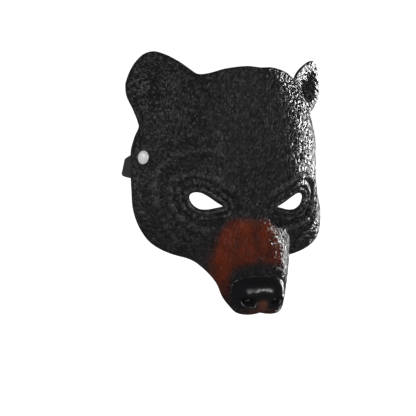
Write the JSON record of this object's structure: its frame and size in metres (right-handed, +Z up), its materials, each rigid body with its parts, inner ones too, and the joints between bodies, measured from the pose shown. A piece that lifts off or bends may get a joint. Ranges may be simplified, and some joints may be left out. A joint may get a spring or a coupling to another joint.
{
  "type": "bear half mask",
  "caption": "Moulded foam half mask of a bear's face with a long muzzle, round ears and almond eye openings, held on by a riveted elastic strap.",
  "frame": {"origin": "middle of the plane of the rim, at the height of the eyes, where the wearer's face sits", "axes": "+X to the wearer's left, -Y out through the nose, +Z up"},
  "size_m": [0.2238, 0.2458, 0.216],
  "materials": {
    "foam": "moulded short-fur foam, painted satin black with a rust-brown muzzle and a glossy black nose",
    "elastic": "dark woven elastic",
    "steel": "satin nickel-plated cap"
  },
  "bodies": {
    "root": {"mask_shell": "foam", "elastic_strap": "elastic", "rivet_left": "steel", "rivet_right": "steel"}
  },
  "joints": []
}
